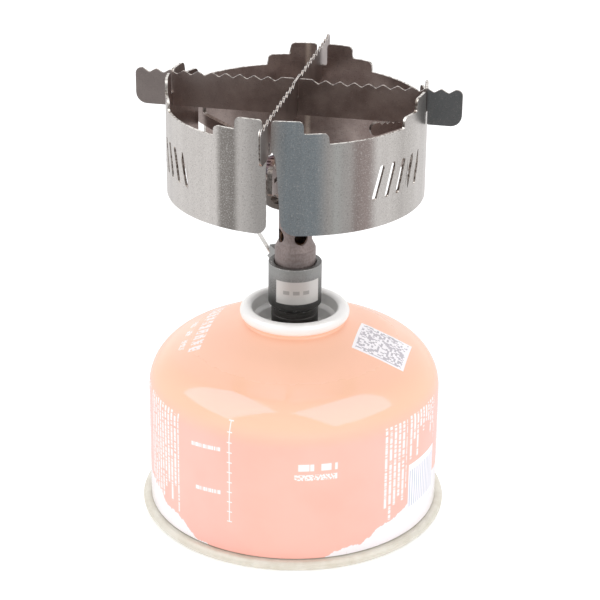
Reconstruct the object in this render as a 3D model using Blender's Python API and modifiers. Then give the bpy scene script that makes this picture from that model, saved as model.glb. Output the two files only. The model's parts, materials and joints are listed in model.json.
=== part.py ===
"""Canister stove: a gas cartridge, a screw-on burner with three folding arms, and a slotted
windscreen that carries two interlocking serrated cross plates as its pot stand.

Frame: origin at the centre of the cartridge's base, +Z up, one cross plate along X, the other along Y,
and the windscreen's open seam at -Y. Angles round the axis are in degrees from -Y towards +X.
"""

from math import cos, pi, radians, sin, tan

import bmesh
import bpy
from mathutils import Matrix, Vector

MM = 0.001
GAP = 0.3  # clearance between neighbouring pieces, in mm

# ---- driving dimensions, in mm -------------------------------------------------------------------

CAN_R, CAN_WALL = 52.1, 0.6  # cartridge body
CAN_STRAIGHT_TOP = 46.0  # where the shoulder starts
SHOULDER_R, SHOULDER_END = 16.0, 68.0  # shoulder arc, and its last angle above the horizontal
NECK_R, NECK_Z, NECK_TOP = 17.6, 70.6, 72.1
RIM_R, RIM_H = 55.0, 3.05  # rolled seam at the base
BASE_RISE = 9.2  # height of the concave base at its centre

COLLAR_R, COLLAR_Z, COLLAR_WIRE = 17.3, 74.45, 1.95  # rolled ring round the valve recess
CUP_FLOOR, CUP_SHEET = 66.2, 0.8
BOSS_R, BOSS_TOP = 5.5, 72.6  # 7/16 inch threaded boss of the valve
STEM_R, STEM_TOP = 1.35, 70.5
SPRING_R, SPRING_WIRE, SPRING_TURNS = 2.1, 0.3, 5
SPRING_Z = (58.9, 65.4)

CONNECTOR_R, CONNECTOR_Z = 8.3, (66.6, 76.6)
BODY_R, BODY_Z = 9.4, (76.9, 93.2)  # valve body
SOCKET_R, SOCKET_FLOOR = 7.55, 90.3  # recess of the valve body that holds the mixing tube
TUBE_LOW_R, TUBE_R, TUBE_WALL = 7.2, 5.84, 0.8
TUBE_Z = (90.6, 98.7, 101.3, 122.0)  # bottom, shoulder start, shoulder end, top
AIR_HOLE_R, AIR_HOLE_Z, AIR_HOLE_ANGLE = 2.45, 103.5, 33.5

SPINDLE_Z, SPINDLE_ANGLE, SPINDLE_R, SPINDLE_BORE = 86.0, 214.0, 1.9, 2.35
BOSS_REACH, BOSS_HALF, BOSS_Z = 14.0, 4.4, (80.0, 94.7)  # block on the valve body's side, round the spindle
YOKE_HALF, YOKE_THICK, YOKE_LONG = 3.0, 3.0, 3.2  # block on the spindle that holds the handle
HANDLE_REACH = 18.5  # the handle's hinge, measured along the spindle from the stove's axis
HANDLE_ROLL, HANDLE_TILT = 30.0, 7.0  # turn of the hinge from upright, and lift of the handle off the axis
HANDLE_LENGTH, HANDLE_HALF, HANDLE_WIRE = 36.5, 7.1, 0.65

BOWL_R, BOWL_Z, BOWL_WALL = 12.3, (122.3, 127.5), 0.7
CAP_R, CAP_Z = 11.8, (127.8, 129.3)  # perforated burner cap
BRACKET_R, BRACKET_Z = 11.2, (115.9, 121.5)
BRACKET_SLOT, BRACKET_CORE = 2.4, 6.9  # width of the three slots for the arms, and the radius they stop at

ARM_FIRST_ANGLE, ARM_SHEET = 1.2, 1.7
ARM_ANGLES = [ARM_FIRST_ANGLE + 120 * k for k in range(3)]
PIVOT_R, PIVOT_Z, PIVOT_HOLE, EYE_R = 9.8, 119.0, 1.15, 2.6
RIVET_R, RIVET_HALF = 0.8, 4.9
ARM_END, ARM_TOP, ARM_TOOTH, ARM_PITCH, ARM_HORN = 45.8, 141.2, 0.8, 2.1, 143.3
ARM_TONGUES = (True, True, False)  # which arms have a toothed tongue over their bar

SCREEN_R, SCREEN_SHEET = 44.4, 0.85
SCREEN_BOTTOM, SCREEN_TOP, STEP_TOP, TAB_TOP = 120.35, 151.45, 155.1, 159.3
TAB_FROM, TAB_TO, STEP_TO = 2.5, 14.8, 25.5  # degrees either side of each cross plate
SEAM_LEFT = -0.8  # seam edges, in degrees: straight on the left, widening downwards on the right
SEAM_RIGHT = ((1.3, TAB_TOP, 1.2), (1.3, 149.2, 0.6), (3.3, 147.0, 0.8), (5.7, SCREEN_BOTTOM, 5.2))
ARM_SLOT_ANGLES, ARM_SLOT_HALF, ARM_SLOT_TOP = (ARM_ANGLES[1], ARM_ANGLES[2] + 1.0), 1.95, 143.65
VENT_ANGLES, VENT_Z, VENT_HEIGHT, VENT_LEAN = (62.6, 301.8), 135.7, 11.5, 3.6
VENTS, VENT_WIDTH, VENT_PITCH = 5, 2.0, 5.2
ROLL_STEP = 6.0  # degrees between the facets of the rolled sheet

PLATE_HALF, PLATE_SHEET = 56.4, 0.8
PLATE_BOTTOM, PLATE_TOP = 147.07, 159.76
TOOTH_PITCH, TOOTH_DEPTH, TOOTH_START, PLATE_FLAT = 4.9, 1.5, 7.5, 5.2
TEETH = 10


# ---- scene and helpers ---------------------------------------------------------------------------


def clear_scene():
    for item in list(bpy.data.objects):
        bpy.data.objects.remove(item, do_unlink=True)
    for group in ("canister_stove", "cutters"):
        bpy.context.scene.collection.children.link(bpy.data.collections.new(group))


def material(name, colour, roughness, metallic):
    made = bpy.data.materials.new(name)
    made.use_nodes = True
    shader = made.node_tree.nodes["Principled BSDF"]
    shader.inputs["Base Color"].default_value = (*colour, 1.0)
    shader.inputs["Roughness"].default_value = roughness
    shader.inputs["Metallic"].default_value = metallic
    return made


def place(name, data, finish=None, matrix=None, cutter=False):
    """An object for this mesh or curve, as a part or as a hidden cutter."""
    made = bpy.data.objects.new(name, data)
    bpy.data.collections["cutters" if cutter else "canister_stove"].objects.link(made)
    if matrix is not None:
        made.matrix_world = matrix
    if cutter:
        made.hide_render = True
        made.display_type = "WIRE"
    else:
        data.materials.append(finish)
        if isinstance(data, bpy.types.Mesh):
            data.shade_smooth()
            data.set_sharp_from_angle(angle=radians(30))
    return made


def radial(angle, reach=0.0, height=0.0):
    """The point at this angle round the stove, in metres."""
    turn = radians(angle)
    return Vector((reach * sin(turn), -reach * cos(turn), height)) * MM


def upright(angle, reach=0.0, height=0.0):
    """Local X points outwards at this angle, local Y up."""
    turn = Matrix.Rotation(radians(angle - 90), 4, "Z") @ Matrix.Rotation(radians(90), 4, "X")
    return Matrix.Translation(radial(angle, reach, height)) @ turn


def axes(origin, x, y, z):
    turned = Matrix((x, y, z)).transposed().to_4x4()
    return Matrix.Translation(origin) @ turned


def turned(name, profile, finish=None, segments=32, matrix=None, cutter=False, closed=True):
    """A profile of (radius, height) turned round Z. It runs down its outer side."""
    mesh = bpy.data.meshes.new(name)
    points = [(r * MM, 0.0, z * MM) for r, z in profile]
    edges = [(k, k + 1) for k in range(len(points) - 1)]
    if closed:
        edges.append((len(points) - 1, 0))
    mesh.from_pydata(points, edges, [])
    made = place(name, mesh, finish, matrix, cutter)
    screw = made.modifiers.new("turn", "SCREW")
    screw.axis = "Z"
    screw.steps = screw.render_steps = segments
    screw.use_merge_vertices = True
    screw.merge_threshold = 0.00001
    screw.use_smooth_shade = True
    return made


def box(name, low, high, matrix, finish=None, cutter=True):
    mesh = bpy.data.meshes.new(name)
    form = bmesh.new()
    bmesh.ops.create_cube(form, size=1.0)
    middle = [(a + b) / 2 * MM for a, b in zip(low, high)]
    sides = [(b - a) * MM for a, b in zip(low, high)]
    bmesh.ops.scale(form, vec=sides, verts=form.verts)
    bmesh.ops.translate(form, vec=middle, verts=form.verts)
    form.to_mesh(mesh)
    form.free()
    return place(name, mesh, finish, matrix, cutter)


def rod(name, radius, low, high, matrix, finish=None, segments=24, cutter=True):
    """A cylinder along local Z."""
    mesh = bpy.data.meshes.new(name)
    form = bmesh.new()
    sizes = {"radius1": radius * MM, "radius2": radius * MM, "depth": (high - low) * MM}
    bmesh.ops.create_cone(form, cap_ends=True, segments=segments, **sizes)
    bmesh.ops.translate(form, vec=(0, 0, (high + low) / 2 * MM), verts=form.verts)
    form.to_mesh(mesh)
    form.free()
    return place(name, mesh, finish, matrix, cutter)


def boolean(target, tool, operation):
    change = target.modifiers.new(tool.name, "BOOLEAN")
    change.operation = operation
    change.solver = "EXACT"
    change.object = tool


def rounded(corners, steps=4):
    """The outline through (x, y, radius) corners, each rounded by an arc of its radius."""
    outline = []
    for k, (x, y, radius) in enumerate(corners):
        here = Vector((x, y))
        back = Vector(corners[k - 1][:2]) - here
        ahead = Vector(corners[(k + 1) % len(corners)][:2]) - here
        opening = back.angle(ahead)
        if radius <= 0 or abs(opening - pi) < 0.02:
            outline.append((x, y))
            continue
        reach = radius / tan(opening / 2)
        centre = here + (back.normalized() + ahead.normalized()).normalized() * (radius / sin(opening / 2))
        start = here + back.normalized() * reach - centre
        end = here + ahead.normalized() * reach - centre
        sweep = start.angle_signed(end)
        for step in range(steps + 1):
            spoke = start.copy()
            spoke.rotate(Matrix.Rotation(-sweep * step / steps, 2))
            outline.append(tuple(centre + spoke))
    return outline


def circle(x, y, radius, sides):
    return [(x + radius * cos(2 * pi * k / sides), y + radius * sin(2 * pi * k / sides)) for k in range(sides)]


def sheet(name, outlines, thickness, finish=None, matrix=None):
    """A flat piece: its outline and then its holes, filled and given half its thickness each way."""
    curve = bpy.data.curves.new(name, "CURVE")
    curve.dimensions = "2D"
    curve.fill_mode = "BOTH"
    curve.extrude = thickness / 2 * MM
    for outline in outlines:
        spline = curve.splines.new("POLY")
        spline.points.add(len(outline) - 1)
        for point, (x, y) in zip(spline.points, outline):
            point.co = (x * MM, y * MM, 0.0, 1.0)
        spline.use_cyclic_u = True
    return place(name, curve, finish, matrix)


def as_mesh(curve_object):
    """The curve object's shape as a welded mesh. The curve object is removed."""
    graph = bpy.context.evaluated_depsgraph_get()
    mesh = bpy.data.meshes.new_from_object(curve_object.evaluated_get(graph))
    bpy.data.objects.remove(curve_object, do_unlink=True)
    form = bmesh.new()
    form.from_mesh(mesh)
    bmesh.ops.remove_doubles(form, verts=form.verts, dist=0.000001)
    form.to_mesh(mesh)
    form.free()
    return mesh


def wire(name, points, radius, finish, matrix=None, resolution=2):
    curve = bpy.data.curves.new(name, "CURVE")
    curve.dimensions = "3D"
    curve.bevel_depth = radius * MM
    curve.bevel_resolution = resolution
    curve.use_fill_caps = True
    spline = curve.splines.new("POLY")
    spline.points.add(len(points) - 1)
    for point, place_mm in zip(spline.points, points):
        point.co = (*(Vector(place_mm) * MM), 1.0)
    return place(name, curve, finish, matrix)


def ring_profile(radius, height, thickness, sides=8):
    """The round section of an O-ring, running down its outer side."""
    return [
        (radius + thickness * cos(-2 * pi * k / sides), height + thickness * sin(-2 * pi * k / sides))
        for k in range(sides)
    ]


# ---- the cartridge -------------------------------------------------------------------------------


def shoulder(wall):
    """Neck, dome and shoulder of the cartridge, from the neck's top down, for its outside or its inside."""
    arc = []
    for k in range(7):
        angle = radians(SHOULDER_END * (1 - k / 6))
        reach = SHOULDER_R - wall
        arc.append((CAN_R - SHOULDER_R + reach * cos(angle), CAN_STRAIGHT_TOP + reach * sin(angle)))
    neck = [(NECK_R, NECK_TOP), (NECK_R, NECK_Z + 0.2)]
    neck += [(NECK_R + 2.0, NECK_Z - 0.6), (NECK_R + 3.2, NECK_Z - 1.2)]
    drop = (0.0, wall, wall, wall)
    return [(r - wall / 2 if down else r - wall, z - down) for (r, z), down in zip(neck, drop)] + arc


def cartridge(finish):
    outside = shoulder(0.0) + [(CAN_R, RIM_H + GAP)]
    inside = [(CAN_R - CAN_WALL, RIM_H + GAP)] + shoulder(CAN_WALL)[::-1]
    turned("canister_shell", outside + inside, finish["can_paint"], 48)

    def dished(lift):
        """The base's concave sheet at this lift above its underside, from the rim to the axis."""
        reach, fall = RIM_R - 4.6, BASE_RISE - 1.6
        shares = (1.0, 0.8, 0.6, 0.4, 0.2, 0.0)
        return [(reach * share, BASE_RISE + lift - fall * share**2.2) for share in shares]

    rim = [(51.0, RIM_H), (52.9, RIM_H), (54.4, 2.8), (RIM_R, 2.1), (RIM_R, 0.8)]
    rim += [(54.3, 0.0), (52.8, 0.0), (51.6, 0.5)]
    turned("canister_base", dished(0.7)[::-1] + rim + dished(0.0), finish["tin"], 48, closed=False)

    collar = []
    for k in range(11):
        angle = radians(150 - 300 * k / 10)
        collar.append((COLLAR_R + COLLAR_WIRE * cos(angle), COLLAR_Z + COLLAR_WIRE * sin(angle)))
    below = CUP_FLOOR - CUP_SHEET
    outer_side = [(15.4, 71.6), (14.0, 70.2), (14.0, 67.4), (12.4, below), (4.9, below)]
    inner_side = [(4.9, CUP_FLOOR), (12.0, CUP_FLOOR), (13.2, 67.6), (13.2, 70.6), (14.7, 71.9), (15.1, 73.6)]
    turned("mounting_cup", collar + outer_side + inner_side, finish["tin_bright"], 36)

    housing = [
        (1.7, BOSS_TOP), (5.1, BOSS_TOP), (BOSS_R, BOSS_TOP - 0.4), (BOSS_R, CUP_FLOOR + GAP),
        (4.6, CUP_FLOOR + GAP), (4.6, 65.1), (6.4, 65.1), (6.4, 63.6), (4.4, 62.8), (4.4, 57.4), (0.8, 57.4),
        (0.8, 58.5), (3.3, 58.5), (3.3, 71.4), (1.7, 71.4),
    ]  # fmt: skip
    turned("valve_housing", housing, finish["brass"], 24)
    turned("valve_gasket", [(3.0, 71.1), (3.0, 69.9), (1.75, 69.9), (1.75, 71.1)], finish["rubber"], 24)

    stem = [(0.0, STEM_TOP), (STEM_R, STEM_TOP), (STEM_R, 67.3), (2.6, 67.3)]
    stem += [(2.6, 66.0), (1.2, 66.0), (1.2, 63.5), (0.0, 63.5)]
    turned("valve_stem", stem, finish["brass"], 24, closed=False)

    low, high = SPRING_Z
    steps = SPRING_TURNS * 8
    coil = []
    for k in range(steps + 1):
        turn = 2 * pi * SPRING_TURNS * k / steps
        coil.append((SPRING_R * cos(turn), SPRING_R * sin(turn), low + (high - low) * k / steps))
    wire("valve_spring", coil, SPRING_WIRE, finish["steel"], resolution=1)


# ---- the burner's valve --------------------------------------------------------------------------


def spindle_axes():
    """(A, S, N): along the spindle outwards, along the handle's hinge, and square to both."""
    along = radial(SPINDLE_ANGLE, 1000.0)
    level = Vector((0, 0, 1)).cross(along)
    roll = radians(HANDLE_ROLL)
    hinge = Vector((0, 0, 1)) * cos(roll) + level * sin(roll)
    return along, hinge, along.cross(hinge)


def valve(finish):
    low, high = CONNECTOR_Z
    connector = [
        (CONNECTOR_R, high), (CONNECTOR_R, low + 0.5), (CONNECTOR_R - 0.5, low), (BOSS_R + 0.4, low),
        (BOSS_R + 0.4, 74.3), (4.2, 74.3), (4.2, high),
    ]  # fmt: skip
    turned("thread_connector", connector, finish["black"], 40)
    turned("connector_o_ring", ring_profile(4.9, 73.45, 0.55), finish["rubber"], 24)
    turned("gas_filter", [(2.3, 76.9), (2.3, 75.3), (1.2, 75.3), (1.2, 76.9)], finish["sintered"], 24)
    pin = [(0.0, 78.9), (0.85, 78.9), (0.85, 71.2), (0.45, 70.8), (0.0, 70.8)]
    turned("depressor_pin", pin, finish["brass"], 16, closed=False)

    low, high = BODY_Z
    body = [
        (SOCKET_R + 0.15, high), (BODY_R - 0.15, high), (BODY_R, high - 0.15), (BODY_R, low + 1.0),
        (BODY_R - 1.0, low), (3.9, low), (3.9, 74.9), (2.6, 74.9), (2.6, 77.2), (1.2, 77.2), (1.2, 88.2),
        (2.1, 88.2), (2.1, SOCKET_FLOOR), (SOCKET_R, SOCKET_FLOOR), (SOCKET_R, high - 0.15),
    ]  # fmt: skip
    valve_body = turned("valve_body", body, finish["anodised"], 40)
    along, hinge, square = spindle_axes()
    centre = Vector((0, 0, SPINDLE_Z * MM))
    flat = axes(centre, Vector((0, 0, 1)), along.cross(Vector((0, 0, 1))), along)
    near, far = (BOSS_Z[0] - SPINDLE_Z, -BOSS_HALF, 8.2), (BOSS_Z[1] - SPINDLE_Z, BOSS_HALF, BOSS_REACH)
    boolean(valve_body, box("side_boss", near, far, flat), "UNION")
    boolean(valve_body, rod("spindle_bore", SPINDLE_BORE, -3.0, BOSS_REACH + 2.0, flat), "DIFFERENCE")

    jet = [
        (0.3, 98.5), (0.9, 98.5), (1.5, 97.6), (1.5, 92.4), (2.8, 92.0), (2.8, 90.6), (1.75, 90.6), (1.75, 88.5),
        (0.8, 88.5), (0.8, 97.2), (0.3, 97.7),
    ]  # fmt: skip
    turned("jet_nozzle", jet, finish["brass"], 16)

    seat = BOSS_REACH + GAP
    nut = rod("gland_nut", 3.7, seat, seat + 2.0, flat, finish["steel"], 6, cutter=False)
    boolean(nut, rod("gland_bore", SPINDLE_R + 0.4, BOSS_REACH - 1, BOSS_REACH + 4, flat), "DIFFERENCE")

    rolled = axes(centre, hinge, square, along)
    groove = 9.0
    shaft = [
        (0.0, HANDLE_REACH - 1.2), (SPINDLE_R, HANDLE_REACH - 1.2), (SPINDLE_R, groove + 0.8),
        (1.1, groove + 0.8), (1.1, groove - 0.8), (SPINDLE_R, groove - 0.8), (SPINDLE_R, 4.5), (0.5, 1.6),
        (0.0, 1.6),
    ]  # fmt: skip
    spindle = turned("needle_spindle", shaft, finish["steel"], 24, rolled, closed=False)
    low = (-YOKE_HALF, -YOKE_THICK / 2, HANDLE_REACH - YOKE_LONG / 2)
    high = (YOKE_HALF, YOKE_THICK / 2, HANDLE_REACH + YOKE_LONG / 2)
    head = box("spindle_yoke", low, high, rolled)
    boolean(spindle, head, "UNION")
    across = axes(centre + along * HANDLE_REACH * MM, square, along, hinge)
    boolean(spindle, rod("handle_hole", HANDLE_WIRE + 0.4, -8, 8, across, segments=16), "DIFFERENCE")
    turned("spindle_o_ring", ring_profile(1.75, groove, 0.38), finish["rubber"], 20, rolled)

    tilt = radians(HANDLE_TILT)
    out = along * cos(tilt) + square * sin(tilt)
    hinge_point = axes(centre + along * HANDLE_REACH * MM, out, hinge, out.cross(hinge))
    wire("wire_handle", handle_route(), HANDLE_WIRE, finish["steel"], hinge_point)


def handle_route():
    """One wire: an end in the spindle's hole, out along one leg, round, and back along the other."""
    half, corner = HANDLE_HALF, 1.1
    side = [(0.0, YOKE_HALF - 1.2), (0.0, half - corner)]
    for k in range(1, 4):
        angle = pi / 2 * k / 3
        side.append((corner * (1 - cos(angle)), half - corner + corner * sin(angle)))
    far = HANDLE_LENGTH - half
    side += [(far * k / 4, half) for k in (1, 2, 3)]
    turn = [(far + half * sin(pi * k / 10), half * cos(pi * k / 10)) for k in range(11)]
    route = side + turn + [(x, -y) for x, y in side[::-1]]
    return [(x, y, 0.0) for x, y in route]


# ---- mixing tube, burner head and arms -----------------------------------------------------------


def burner_head(finish):
    bottom, shoulder_low, shoulder_high, top = TUBE_Z
    low_in, high_in = TUBE_LOW_R - TUBE_WALL, TUBE_R - TUBE_WALL
    tube = [
        (TUBE_R, top), (TUBE_R, shoulder_high), (TUBE_LOW_R, shoulder_low), (TUBE_LOW_R, bottom),
        (low_in, bottom), (low_in, shoulder_low - 0.3), (high_in, shoulder_high - 0.3), (high_in, top),
    ]  # fmt: skip
    mixing_tube = turned("mixing_tube", tube, finish["titanium_dark"], 40)
    for k in range(4):
        angle = AIR_HOLE_ANGLE + 90 * k
        towards = upright(angle, 0.0, AIR_HOLE_Z) @ Matrix.Rotation(radians(90), 4, "Y")
        hole = rod(f"air_hole_{k + 1}", AIR_HOLE_R, 2.5, TUBE_LOW_R + 2, towards)
        boolean(mixing_tube, hole, "DIFFERENCE")

    low, high = BOWL_Z
    bowl = [
        (BOWL_R, high), (BOWL_R, high - 0.5), (8.7, 123.9), (6.5, low), (TUBE_R - TUBE_WALL, low),
        (TUBE_R - TUBE_WALL, low + BOWL_WALL), (6.1, low + BOWL_WALL), (8.1, 124.5),
        (BOWL_R - BOWL_WALL, high),
    ]  # fmt: skip
    turned("burner_bowl", bowl, finish["titanium_dark"], 40)

    holes = [circle(0, 0, 0.7, 8)]
    for count, reach in ((6, 3.2), (12, 6.4), (18, 9.6)):
        for k in range(count):
            turn = 2 * pi * k / count
            holes.append(circle(reach * cos(turn), reach * sin(turn), 0.8, 6))
    middle = Matrix.Translation((0, 0, sum(CAP_Z) / 2 * MM))
    sheet("burner_cap", [circle(0, 0, CAP_R, 40)] + holes, CAP_Z[1] - CAP_Z[0], finish["steel_burnt"], middle)


def arm_bracket(finish):
    low, high = BRACKET_Z
    bracket = rod("arm_bracket", BRACKET_R, low, high, Matrix(), finish["titanium"], 48, cutter=False)
    for number, angle in enumerate(ARM_ANGLES, 1):
        near = (BRACKET_CORE, low - 1, -BRACKET_SLOT / 2)
        far = (BRACKET_R + 2, high + 1, BRACKET_SLOT / 2)
        boolean(bracket, box(f"arm_slot_{number}", near, far, upright(angle)), "DIFFERENCE")
    for number, angle in enumerate(ARM_ANGLES, 1):
        across = upright(angle, PIVOT_R, PIVOT_Z)
        boolean(bracket, rod(f"rivet_hole_{number}", PIVOT_HOLE, -8, 8, across, segments=16), "DIFFERENCE")
    boolean(bracket, rod("bracket_bore", TUBE_R + GAP, 105, 130, Matrix(), segments=36), "DIFFERENCE")


def arm_outline(with_tongue):
    """One arm seen from its side: x outwards from its pivot, y up. A bar rises to a horn at its outer end.
    On an arm with a tongue, the toothed tongue reaches back inwards from the horn, over the bar.
    """
    turns = [radians(125 + 176 * k / 10) for k in range(11)]
    eye = [(EYE_R * cos(turn), EYE_R * sin(turn)) for turn in turns]
    if with_tongue:
        head = [(41.3, ARM_HORN, 1.2), (41.3, ARM_TOP, 0.6)]
        start = 40.5
        for k in range(5):
            tooth = start - ARM_PITCH * k
            head += [(tooth, ARM_TOP, 0), (tooth - ARM_PITCH / 2, ARM_TOP - ARM_TOOTH, 0)]
        head += [(start - ARM_PITCH * 5, ARM_TOP, 0), (26.9, ARM_TOP, 2.5), (26.9, 136.0, 2.1)]
        head += [(42.8, 139.35, 0.6), (42.8, 137.7, 0.6)]
    else:
        head = [(43.0, ARM_HORN, 1.2), (43.0, 137.7, 1.6)]
    bar_end = [(36.5, 132.3, 8), (ARM_END, 134.4, 1.6), (ARM_END, ARM_HORN, 1.5)]
    corners = bar_end + head + [(30.0, 135.5, 6.0)]
    local = [(x - PIVOT_R, y - PIVOT_Z, r) for x, y, r in corners]
    return rounded([(*eye[-1], 0)] + local + [(*eye[0], 0)], 3) + eye[1:-1]


def arms(finish):
    hole = circle(0, 0, PIVOT_HOLE, 16)
    half = [(0.0, RIVET_HALF), (RIVET_R - 0.15, RIVET_HALF), (RIVET_R, RIVET_HALF - 0.15)]
    rivet = half + [(r, -z) for r, z in half[::-1]]
    for number, (angle, with_tongue) in enumerate(zip(ARM_ANGLES, ARM_TONGUES), 1):
        pivot = upright(angle, PIVOT_R, PIVOT_Z)
        outlines = [arm_outline(with_tongue), hole]
        sheet(f"support_arm_{number}", outlines, ARM_SHEET, finish["titanium_dark"], pivot)
        turned(f"arm_rivet_{number}", rivet, finish["steel"], 14, pivot, closed=False)


# ---- windscreen and cross plates -----------------------------------------------------------------


def screen_blank():
    """The windscreen as a flat blank: x is the angle in degrees times the length of a degree, y the height."""
    degree = radians(1) * (SCREEN_R - SCREEN_SHEET / 2)
    corners = [SEAM_RIGHT[-1]]
    for angle in ARM_SLOT_ANGLES:
        half = ARM_SLOT_HALF / degree
        corners += [(angle - half, SCREEN_BOTTOM, 0.8), (angle - half, ARM_SLOT_TOP, 0.7)]
        corners += [(angle + half, ARM_SLOT_TOP, 0.7), (angle + half, SCREEN_BOTTOM, 0.8)]
    seam = 360 + SEAM_LEFT
    corners += [(seam, SCREEN_BOTTOM, 3.4), (seam, SCREEN_TOP, 0.4)]
    for plate in (360, 270, 180, 90, 0):
        if plate < 360:
            corners += [(plate + STEP_TO, SCREEN_TOP, 0.5), (plate + STEP_TO, STEP_TOP, 1.6)]
            corners += [(plate + TAB_TO, STEP_TOP, 0.5), (plate + TAB_TO, TAB_TOP, 1.6)]
        if plate in (90, 180, 270):
            corners += [(plate + TAB_FROM, TAB_TOP, 1.2), (plate + TAB_FROM, SCREEN_TOP, 0.5)]
        if plate > 0:
            corners += [(plate - TAB_FROM, SCREEN_TOP, 0.5), (plate - TAB_FROM, TAB_TOP, 1.2)]
            corners += [(plate - TAB_TO, TAB_TOP, 1.6), (plate - TAB_TO, STEP_TOP, 0.5)]
            corners += [(plate - STEP_TO, STEP_TOP, 1.6), (plate - STEP_TO, SCREEN_TOP, 0.5)]
    corners += SEAM_RIGHT[:-1]
    outline = rounded([(angle * degree, height, radius) for angle, height, radius in corners], 3)

    vents = []
    for centre in VENT_ANGLES:
        lean = VENT_LEAN if centre < 180 else -VENT_LEAN
        for k in range(VENTS):
            middle = centre * degree + (k - (VENTS - 1) / 2) * VENT_PITCH
            low, high = VENT_Z - VENT_HEIGHT / 2, VENT_Z + VENT_HEIGHT / 2
            wide = VENT_WIDTH / 2
            slot = [(middle - lean / 2 - wide, low, 0.6), (middle - lean / 2 + wide, low, 0.6)]
            slot += [(middle + lean / 2 + wide, high, 0.6), (middle + lean / 2 - wide, high, 0.6)]
            vents.append(rounded(slot, 2))
    return [outline] + vents


def windscreen(finish):
    """The blank, cut across at every facet and rolled round the axis."""
    mesh = as_mesh(sheet("windscreen_blank", screen_blank(), SCREEN_SHEET, finish["titanium"]))
    mesh.name = "windscreen_ring"
    neutral = (SCREEN_R - SCREEN_SHEET / 2) * MM
    form = bmesh.new()
    form.from_mesh(mesh)
    for k in range(1, int(360 / ROLL_STEP)):
        cut_at = Vector((radians(k * ROLL_STEP) * neutral, 0, 0))
        everything = form.verts[:] + form.edges[:] + form.faces[:]
        bmesh.ops.bisect_plane(form, geom=everything, dist=1e-7, plane_co=cut_at, plane_no=(1, 0, 0))
    bmesh.ops.remove_doubles(form, verts=form.verts, dist=0.000002)
    for vertex in form.verts:
        angle, radius = vertex.co.x / neutral, neutral + vertex.co.z
        vertex.co = (radius * sin(angle), -radius * cos(angle), vertex.co.y)
    bmesh.ops.recalc_face_normals(form, faces=form.faces)
    form.to_mesh(mesh)
    form.free()
    mesh.materials.clear()
    place("windscreen_ring", mesh, finish["titanium"])


def plate_outline(slot_from_top):
    """A cross plate seen from its side: teeth on top, a notch for the screen near each end, a half-lap slot."""
    right = [(PLATE_FLAT, PLATE_TOP, 0)]
    for k in range(TEETH):
        valley = TOOTH_START + TOOTH_PITCH * k
        right += [(valley, PLATE_TOP - TOOTH_DEPTH, 0), (valley + TOOTH_PITCH / 2, PLATE_TOP, 0)]
    right += [(PLATE_HALF, PLATE_TOP, 2.0), (PLATE_HALF, PLATE_BOTTOM, 3.8)]
    wall, half = SCREEN_R - SCREEN_SHEET / 2, SCREEN_SHEET / 2 + 0.35
    notch_top = SCREEN_TOP + GAP
    for edge in (wall + half, wall - half):
        notch = [(edge, PLATE_BOTTOM, 0.5), (edge, notch_top, 0)]
        right += notch if edge > wall else notch[::-1]
    half_slot, middle = PLATE_SHEET / 2 + 0.35, (PLATE_BOTTOM + PLATE_TOP) / 2
    if slot_from_top:
        right = [(half_slot, middle - GAP / 2, 0), (half_slot, PLATE_TOP, 0.6)] + right
    else:
        right += [(half_slot, PLATE_BOTTOM, 0.5), (half_slot, middle + GAP / 2, 0)]
    left = [(-x, y, r) for x, y, r in right[::-1]]
    return rounded(right + left, 3)


def cross_plates(finish):
    for name, angle, slot_from_top in (("cross_plate_x", 90, True), ("cross_plate_y", 0, False)):
        sheet(name, [plate_outline(slot_from_top)], PLATE_SHEET, finish["titanium_dark"], upright(angle))


def main():
    clear_scene()
    finish = {
        "can_paint": material("can_paint", (0.93, 0.56, 0.40), 0.35, 0.0),
        "tin": material("tin", (0.74, 0.70, 0.61), 0.35, 0.8),
        "tin_bright": material("tin_bright", (0.80, 0.80, 0.78), 0.3, 0.9),
        "brass": material("brass", (0.78, 0.60, 0.30), 0.3, 1.0),
        "rubber": material("rubber", (0.03, 0.03, 0.03), 0.7, 0.0),
        "steel": material("steel", (0.75, 0.76, 0.74), 0.25, 1.0),
        "steel_burnt": material("steel_burnt", (0.32, 0.29, 0.27), 0.5, 1.0),
        "sintered": material("sintered", (0.55, 0.42, 0.28), 0.8, 0.8),
        "black": material("black", (0.03, 0.03, 0.03), 0.4, 0.3),
        "anodised": material("anodised", (0.22, 0.23, 0.23), 0.45, 0.7),
        "titanium": material("titanium", (0.50, 0.48, 0.46), 0.35, 1.0),
        "titanium_dark": material("titanium_dark", (0.30, 0.27, 0.26), 0.4, 1.0),
    }
    cartridge(finish)
    valve(finish)
    burner_head(finish)
    arm_bracket(finish)
    arms(finish)
    windscreen(finish)
    cross_plates(finish)


main()
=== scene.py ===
"""Looks of the canister stove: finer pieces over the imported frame, materials, floor, light and camera."""

import json
from math import atan2, cos, pi, radians, sin, tan

import bmesh
import bpy
from mathutils import Matrix, Vector

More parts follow.
